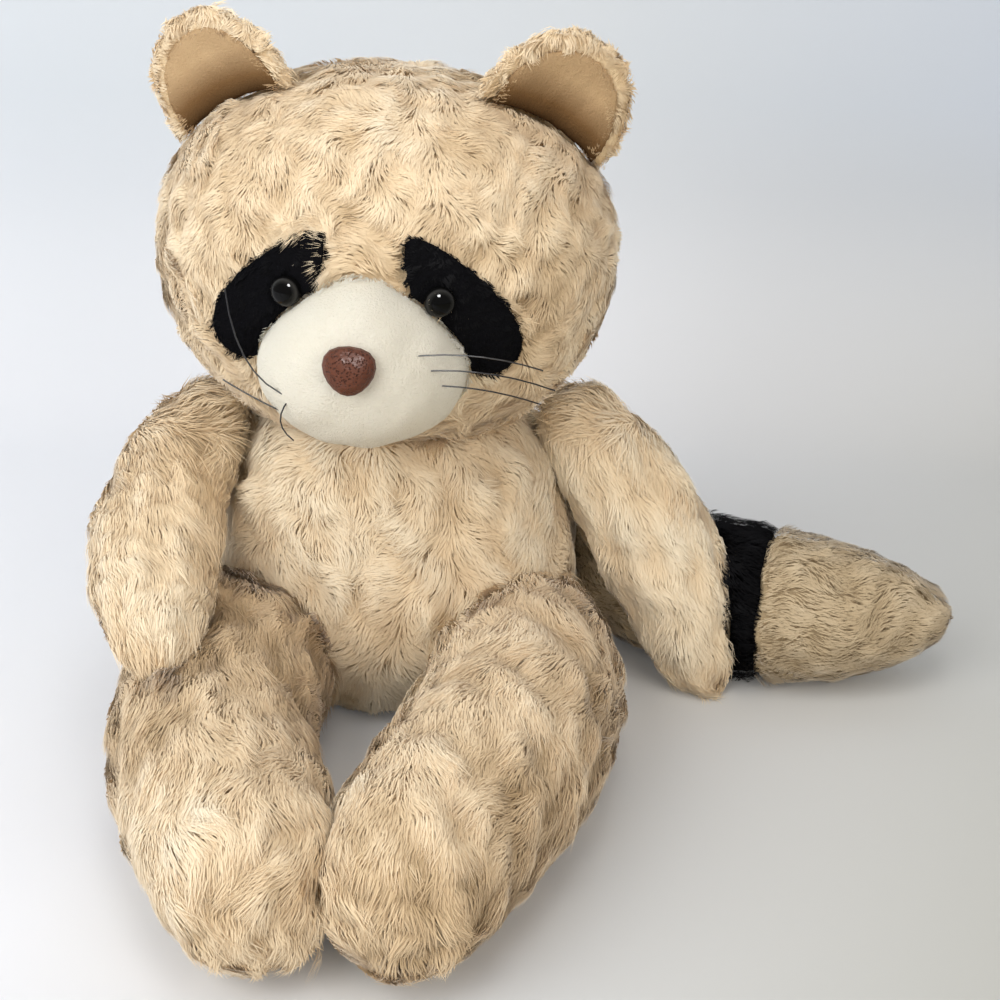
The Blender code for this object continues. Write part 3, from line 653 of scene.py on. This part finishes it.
for side, other, seed in (("left", "right", 31), ("right", "left", 32)):
    leg = f"leg_{side}"
    stuffed_skin(leg, LEG_PILE_DEPTH, cream_backing)
    low, high, _ = node_box(leg)
    foot_x = low[0] + FOOT_INSET if side == "left" else high[0] - FOOT_INSET
    foot = np.array([foot_x, low[1] - FOOT_BEYOND, -FOOT_BEYOND])
    spots, facing = tuft_places(leg, spacing=0.0062, seed=seed,
                                neighbours=("torso", f"leg_{other}", "arm_left", "arm_right"))
    # Painted shade: the soles, the left leg's outer side and the right thigh are tinted darker.
    leg_painted_shade = SOLE_PAINTED_SHADE[side] * ramp(-facing[:, 1], *SOLE_FACING)
    if side == "left":
        leg_painted_shade = leg_painted_shade + OUTER_PAINTED_SHADE * ramp(facing[:, 0], *OUTER_FACING)
    else:
        leg_painted_shade = leg_painted_shade + THIGH_PAINTED_SHADE * ramp(spots[:, 1], *THIGH_PLACES)
    pile(f"{leg}_pile", (spots, facing), foot - spots, cream_pile, seed=seed + 10,
         hairs=34, spread=0.0058, depth=LEG_PILE_DEPTH, reach=0.0135, lift=0.0009, width=0.0006,
         wander=(0.35, 0.28), locks=(0.016, 0.0014), stretch=(1, 0.5, 1), bend=12.0,
         tint=LEG_TINT + PAINTED_SHADE_TINT * np.minimum(leg_painted_shade, PAINTED_SHADE_LIMIT))

# Arms: two bags of the same plush that taper to the paws, sewn on at the shoulders. Their long pile is
# combed to the paws, and at the shoulders it stands up and turns in under the head.
ARM_PILE_DEPTH = 0.0037
PAW_FROM_CORNER = {"left": (0, 0, -0.05), "right": (0.05, -0.03, -0.04)}
SHOULDER_START = 0.022
SHOULDER_FULL = 0.004
SHOULDER_TURN = 2.5
SHOULDER_LIFT = 0.005
# Painted light and shade: the left arm, away from the window, is tinted paler, and the right one a little
# darker.
ARM_PAINTED_LIGHT = {"left": 0.26, "right": -0.01}

for side, seed in (("left", 51), ("right", 52)):
    arm = f"arm_{side}"
    stuffed_skin(arm, ARM_PILE_DEPTH, cream_backing)
    low, high, _ = node_box(arm)
    outer_x = high[0] if side == "left" else low[0]
    paw = np.array([outer_x, low[1], low[2]]) + PAW_FROM_CORNER[side]
    spots, facing = tuft_places(arm, spacing=0.0060, seed=seed,
                                neighbours=("torso", "head", "leg_left", "leg_right", "tail_base",
                                            "tail_band"))
    shoulder_share = ramp(spots[:, 2], high[2] - SHOULDER_START, high[2] - SHOULDER_FULL)
    inward = along_surface(head_middle - spots, facing)
    comb = along_surface(paw - spots, facing) + SHOULDER_TURN * shoulder_share[:, None] * inward
    pile(f"{arm}_pile", (spots, facing), comb, cream_pile, seed=seed + 10, hairs=34,
         spread=0.0056, depth=ARM_PILE_DEPTH, reach=0.014, lift=0.0009 + SHOULDER_LIFT * shoulder_share,
         width=0.0006, wander=(0.25, 0.22), locks=(0.014, 0.0013), stretch=(1, 1, 0.5), bend=14.0,
         tint=ARM_PAINTED_LIGHT[side])

# Tail: three lengths of shorter plush sewn end to end, tan, black and tan, combed to the tip. Each
# skin is drawn out again along the tail, to where it is sewn to the next length.
# The tip's upper front has an open seam along it, where no pile grows.
TAN_ROOT = (0.72, 0.66, 0.58)
TAN_SHADES = [(0.0, (0.46, 0.35, 0.21)), (0.4, (0.60, 0.48, 0.31)), (0.7, (0.68, 0.56, 0.38)),
              (1.0, (0.76, 0.65, 0.48))]
BLACK_ROOT = (0.5, 0.5, 0.5)
BLACK_SHADES = [(0.0, (0.003, 0.003, 0.004)), (0.6, (0.006, 0.006, 0.007)), (1.0, (0.018, 0.018, 0.020))]
TAIL_PILE_DEPTH = 0.0028
TAIL_AXIS_Y = 0.088
TAIL_AXIS_Z = 0.040
TAIL_SEAM_ANGLE = math.radians(38.0)
TAIL_SEAM_GAP = 0.0016

tan_pile = pile_finish("tan_pile", TAN_ROOT, TAN_SHADES)
tan_backing = backing_finish("tan_backing", dark=(0.36, 0.27, 0.16), pale=(0.50, 0.39, 0.24))
black_pile = pile_finish("black_pile", BLACK_ROOT, BLACK_SHADES, roughness=0.8, sheen=0.0)
black_backing = backing_finish("black_backing", dark=(0.003, 0.003, 0.004), pale=(0.006, 0.006, 0.007))
tan_plush = (tan_pile, tan_backing, "tan_tail_plush")
black_plush = (black_pile, black_backing, "black_plush")
tail_lengths = [
    ("tail_base", (0.85, -0.45, 0), tan_plush, ("torso", "arm_left", "leg_left", "tail_band")),
    ("tail_band", (0.93, -0.35, 0), black_plush, ("arm_left", "tail_base", "tail_tip")),
    ("tail_tip", (1.0, -0.10, 0), tan_plush, ("arm_left", "tail_band")),
]

for number, (length_node, to_tip, (finish, backing, slot), neighbours) in enumerate(tail_lengths):
    skin = stuffed_skin(length_node, TAIL_PILE_DEPTH, backing)
    drawn = read_points(skin.data)
    near_end, far_end = drawn[:, 0].min(), drawn[:, 0].max()
    low, high, _ = node_box(length_node)
    sewn_end = far_end if length_node == "tail_tip" else high[0]
    drawn[:, 0] = np.interp(drawn[:, 0], [near_end, far_end], [low[0], sewn_end])
    write_points(skin.data, drawn)
    spots, facing = tuft_places(length_node, spacing=0.0050, seed=71 + number, neighbours=neighbours,
                                clear=0.0010)
    in_front = TAIL_AXIS_Y - spots[:, 1]
    above = spots[:, 2] - TAIL_AXIS_Z
    off_seam = above * math.cos(TAIL_SEAM_ANGLE) - in_front * math.sin(TAIL_SEAM_ANGLE)
    bare = (np.abs(off_seam) < TAIL_SEAM_GAP) & (in_front > 0) & (length_node == "tail_tip")
    pile(f"{length_node}_pile", (spots[~bare], facing[~bare]), np.array(to_tip), finish,
         seed=81 + number, hairs=20, spread=0.0045, depth=TAIL_PILE_DEPTH, reach=0.0052, lift=0.0005,
         width=0.0005, wander=(0.3, 0.25), locks=(0.010, 0.0006), stretch=(0.6, 1, 1), bend=13.0)

# Ears: cupped leaves with cream fleece on the back and rim, which hangs over the top of a short-pile
# tan lining. The lining fills the cup to its rim, and is painted darker where the cup meets the head, as
# painted shade in the fold.
LINING_ROOT = (0.85, 0.80, 0.75)
LINING_SHADES = [(0.0, (0.46, 0.31, 0.16)), (0.5, (0.58, 0.41, 0.23)), (1.0, (0.70, 0.53, 0.32))]
LINING_DARK = (0.42, 0.27, 0.14)
LINING_PALE = (0.66, 0.47, 0.27)
LINING_SPREAD = 1.06
FOLD_PAINTED_SHADE_STOPS = [(0.0, (0.07, 0.05, 0.035)), (0.40, (0.36, 0.29, 0.22)), (1.0, (1.0, 1.0, 1.0))]
FOLD_PAINTED_SHADE_SCALE = 42
LINING_SKIN_DEPTH = 0.0
EAR_SKIN_DEPTH = 0.0010
OVERHANG_HALF = 0.004
OVERHANG_FACING = 0.5
OVERHANG_TURN = 1.8
OVERHANG_REACH = 0.0025

lining_pile = pile_finish("lining_pile", LINING_ROOT, LINING_SHADES, sheen=0.3)
lining_backing = Finish("lining_backing", Roughness=0.95, Specular_IOR_Level=0.02)
lining_colour = backing_colour(lining_backing, LINING_DARK, LINING_PALE, grain=0.0012, relief=0.001)
from_head = lining_backing.node("ShaderNodeAttribute", {"attribute_name": "from_head"}, output=2)
# Painted shade: the lining darkens close to the head, for the shade in the cup's fold.
painted_fold_shade = lining_backing.node("ShaderNodeValToRGB", {"stops": FOLD_PAINTED_SHADE_STOPS},
                                 Fac=from_head * FOLD_PAINTED_SHADE_SCALE)
lining_backing.feed(Base_Color=lining_backing.mixed(1.0, lining_colour, painted_fold_shade, "MULTIPLY"))

for side, seed in (("left", 91), ("right", 92)):
    ear = f"ear_{side}"
    lining = f"ear_lining_{side}"
    _, lining_high, cup_middle = node_box(lining)
    stuffed_skin(ear, EAR_SKIN_DEPTH, cream_backing, voxel=0.0026, lumps=0.0003)

    skin = stuffed_skin(lining, LINING_SKIN_DEPTH, lining_backing,
                        voxel=0.0015, lumps=0.0003)
    spread_out = cup_middle + (read_points(skin.data) - cup_middle) * LINING_SPREAD
    write_points(skin.data, spread_out)
    head_gaps = np.array([trees["head"].find_nearest(Vector(spot))[3] for spot in spread_out], np.float32)
    skin.data.attributes.new("from_head", "FLOAT", "POINT").data.foreach_set("value", head_gaps)

    spots, facing = tuft_places(ear, spacing=0.0040, seed=seed, neighbours=("head", lining), clear=0.0022)
    overhang = ramp(spots[:, 2], lining_high[2] - OVERHANG_HALF, lining_high[2] + OVERHANG_HALF)
    overhang = overhang * ramp(-facing[:, 1], 0, OVERHANG_FACING)
    turned_back = 1 - OVERHANG_TURN * overhang[:, None]
    hanging = np.array([0, 0, -1.0]) * overhang[:, None]
    comb = along_surface(spots - cup_middle, facing) * turned_back + hanging
    pile(f"{ear}_pile", (spots, facing), comb, cream_pile, seed=seed + 4, hairs=26,
         spread=0.0040, depth=0.0016, reach=0.0036 + OVERHANG_REACH * overhang, lift=0.0007,
         width=0.0005, wander=(0.7, 0.6), locks=(0.010, 0.0006), bend=30.0, tint=0.06)

    spots, facing = tuft_places(lining, spacing=0.0024, seed=seed + 2, neighbours=(), near=(ear, 0.004))
    pile(f"{lining}_pile", (spots, facing), spots - cup_middle, lining_pile,
         seed=seed + 6, hairs=7, spread=0.0022, depth=0.0006, reach=0.0018, lift=0.0002, width=0.0004,
         wander=(0.3, 0.2), locks=(0.018, 0.0003), fray=0.2, ruffle=0.02)

# Eye patches: short black plush, cut to a slanting drop and sewn on the head, one round each eye.
# Their pile lies away from the eye and a little down.
PATCH_SKIN_DEPTH = 0.0002
PATCH_DROOP = np.array([0, 0, -0.02])

for side, seed in (("left", 111), ("right", 112)):
    patch = f"eye_patch_{side}"
    stuffed_skin(patch, PATCH_SKIN_DEPTH, black_backing, voxel=0.0012,
                 lumps=0.0)
    spots, facing = tuft_places(patch, spacing=0.0026, seed=seed,
                                neighbours=("head", "muzzle", f"eye_{side}"), clear=0.0006)
    _, _, eye_middle = node_box(f"eye_{side}")
    pile(f"{patch}_pile", (spots, facing), spots - eye_middle + PATCH_DROOP, black_pile,
         seed=seed + 4, hairs=12, spread=0.0020, depth=0.0006, reach=0.0022, lift=0.0006, width=0.00045,
         wander=(0.3, 0.2), locks=(0.008, 0.0003), fray=0.2)

# Strands: longer cream hair from between the eyes, rooted in the head's plush beside the patch round
# the toy's right eye, which falls over that patch's inner top edge.
STRAND_ZONE = 0.0045
STRAND_INNER = 0.018
STRAND_WAY = (-1.0, 0, -0.55)

_, patch_high, patch_middle = node_box("eye_patch_right")
spots, facing = tuft_places("head", spacing=0.0022, seed=141, neighbours=("muzzle", "eye_patch_right"),
                            near=("eye_patch_right", STRAND_ZONE))
inner_top = (spots[:, 0] > patch_high[0] - STRAND_INNER) & (spots[:, 2] > patch_middle[2])
pile("brow_strands", (spots[inner_top], facing[inner_top]), np.array(STRAND_WAY), cream_pile,
     seed=142, hairs=22, spread=0.0024, depth=0.0004, reach=0.0085, lift=0.0016,
     width=0.0003, wander=(0.3, 0.5), locks=(0.005, 0.0008), bend=-40.0, tint=0.02)

# Muzzle: a bag of sheared off-white plush, filled hard and sewn to the head, with the nose set into
# it. Its nap is too short to see but at its seam, where a few hairs lie towards the head.
WHITE_ROOT = (0.95, 0.93, 0.88)
WHITE_SHADES = [(0.0, (0.85, 0.82, 0.70)), (0.5, (0.91, 0.89, 0.80)), (1.0, (0.95, 0.94, 0.89))]
MUZZLE_SKIN_DEPTH = 0.0002
MUZZLE_SEAM_ZONE = 0.007

white_pile = pile_finish("white_pile", WHITE_ROOT, WHITE_SHADES, sheen=0.3)
white_backing = backing_finish("white_backing", dark=(0.88, 0.82, 0.67), pale=(0.96, 0.93, 0.82),
                               grain=0.0011, relief=0.0016)
stuffed_skin("muzzle", MUZZLE_SKIN_DEPTH, white_backing, voxel=0.0025,
             lumps=0.0004)
spots, facing = tuft_places("muzzle", spacing=0.0024, seed=121, neighbours=("nose",), clear=0.0006,
                            near=("head", MUZZLE_SEAM_ZONE))
_, _, nose_middle = node_box("nose")
pile("muzzle_pile", (spots, facing), spots - nose_middle, white_pile, seed=122,
     hairs=9, spread=0.0022, depth=0.0004, reach=0.0016, lift=0.0003, width=0.0004,
     wander=(0.3, 0.2), locks=(0.020, 0.0002), fray=0.3, ruffle=0.02)

# Nose: a moulded piece with a copper-brown, pitted leather grain and a soft shine. It keeps the CAD
# solid's shape, and its shank and washer hold it in the muzzle.
NOSE_PIT_SIZE = 0.0011
NOSE_PIT_SHARE = 0.65
NOSE_WEAR_SIZE = 0.0040
NOSE_WEAR_SHARE = 0.5
NOSE_PIT_STOPS = [(0.10, (0, 0, 0)), (0.42, (1, 1, 1))]
NOSE_PAINTED_PIT_SHADE = (0.012, 0.004, 0.003, 1)
NOSE_COLOUR = (0.135, 0.043, 0.022, 1)
NOSE_RELIEF = 0.0009


def dress(node, finish):
    """Gives a CAD node that keeps its shape its material."""
    frame["nodes"][node].data.materials.clear()
    frame["nodes"][node].data.materials.append(finish.material)


nose_leather = Finish("nose_leather", Roughness=0.42, Specular_IOR_Level=0.26)
pits = nose_leather.node("ShaderNodeTexVoronoi", Vector=nose_leather.place(), Scale=1 / NOSE_PIT_SIZE)
worn = nose_leather.noise(NOSE_WEAR_SIZE, detail=5.0)
pit_depth = nose_leather.node("ShaderNodeValToRGB", {"stops": NOSE_PIT_STOPS}, Fac=pits)
# Painted shade: the pits are coloured near black for the shade in them, and the same pattern gives the grain
# its bump.
grain_and_painted_pit_shade = pit_depth * NOSE_PIT_SHARE + worn * NOSE_WEAR_SHARE
nose_leather.feed(Base_Color=nose_leather.mixed(grain_and_painted_pit_shade, NOSE_PAINTED_PIT_SHADE, NOSE_COLOUR))
nose_leather.feed(Normal=nose_leather.bumped(grain_and_painted_pit_shade, NOSE_RELIEF))
dress("nose", nose_leather)

# Eyes: moulded safety eyes, a glossy dark dome over a black pupil with a dark grey ring round it. A
# smooth face, half an ellipsoid about the eye's axis, lies on each dome, because the solid is facetted.
EYE_YAW = math.radians(13.8)
EYE_PITCH = math.radians(6.4)
PUPIL_RADIUS = 0.0042
PUPIL_EDGE = 0.0008
RING_RADIUS = 0.0060
RING_EDGE = 0.0006
RING_SCALE = 100
PUPIL_COLOUR = (0.0015, 0.0015, 0.0015)
RING_INNER_COLOUR = (0.010, 0.010, 0.009)
RING_COLOUR = (0.032, 0.031, 0.029)
EYE_RIM_COLOUR = (0.004, 0.004, 0.004)
EYE_RADIUS = 0.0070
EYE_DOME = 0.0055
LENS_SKIN = 0.00008
LENS_SIDES = 40
LENS_RINGS = 12

eye_stops = [(0.0, PUPIL_COLOUR), (PUPIL_RADIUS * RING_SCALE, PUPIL_COLOUR),
             ((PUPIL_RADIUS + PUPIL_EDGE) * RING_SCALE, RING_INNER_COLOUR),
             (RING_RADIUS * RING_SCALE, RING_COLOUR),
             ((RING_RADIUS + RING_EDGE) * RING_SCALE, EYE_RIM_COLOUR)]
lens_turn = np.linspace(0, 2 * np.pi, LENS_SIDES, endpoint=False)[None, :, None]
lens_fall = np.linspace(0, np.pi / 2, LENS_RINGS)[:, None, None]

for side, sign in (("left", 1), ("right", -1)):
    outward = np.array([sign * math.sin(EYE_YAW) * math.cos(EYE_PITCH),
                        -math.cos(EYE_YAW) * math.cos(EYE_PITCH), math.sin(EYE_PITCH)])
    dome = solids[f"eye_{side}"][0]
    peak = dome[np.argmax(dome @ outward)]
    eye_glass = Finish(f"eye_glass_{side}", Roughness=0.06, Specular_IOR_Level=0.15)
    from_peak = add_node(eye_glass.tree, "ShaderNodeVectorMath", {"operation": "SUBTRACT"},
                         {0: eye_glass.place(), 1: peak})
    off_axis = add_node(eye_glass.tree, "ShaderNodeVectorMath", {"operation": "CROSS_PRODUCT"},
                        {0: from_peak, 1: outward})
    distance = add_node(eye_glass.tree, "ShaderNodeVectorMath", {"operation": "LENGTH"}, {0: off_axis}, 1)
    ring = eye_glass.node("ShaderNodeValToRGB", {"stops": eye_stops}, Fac=distance * RING_SCALE)
    eye_glass.feed(Base_Color=ring)
    dress(f"eye_{side}", eye_glass)

    right = np.cross(outward, (0, 0, 1.0))
    right /= np.linalg.norm(right)
    over = np.cross(right, outward)
    lens = peak + outward * (LENS_SKIN - EYE_DOME * (1 - np.cos(lens_fall)))
    lens = lens + EYE_RADIUS * np.sin(lens_fall) * (np.cos(lens_turn) * right + np.sin(lens_turn) * over)
    face = grid_mesh(f"eye_face_{side}", lens, closed=True)
    joined = bmesh.new()
    joined.from_mesh(face)
    bmesh.ops.remove_doubles(joined, verts=joined.verts, dist=MERGE_DISTANCE)
    joined.to_mesh(face)
    joined.free()
    lens_piece = link_piece(f"eye_face_{side}", face, eye_glass)
    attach(lens_piece, "root")

# Whiskers and washers: the whiskers are stiff black nylon bristles, drawn through the muzzle. The
# white nylon washers, pushed on to the shanks, hold the eyes and the nose from behind the cloth.
bristle = Finish("black_bristle", Base_Color=(0.010, 0.010, 0.012, 1), Roughness=0.35)
washer_nylon = Finish("washer_nylon", Base_Color=(0.80, 0.80, 0.78, 1), Roughness=0.4)
for name in frame["nodes"]:
    if name.startswith("whisker"):
        dress(name, bristle)
    if "washer" in name:
        dress(name, washer_nylon)
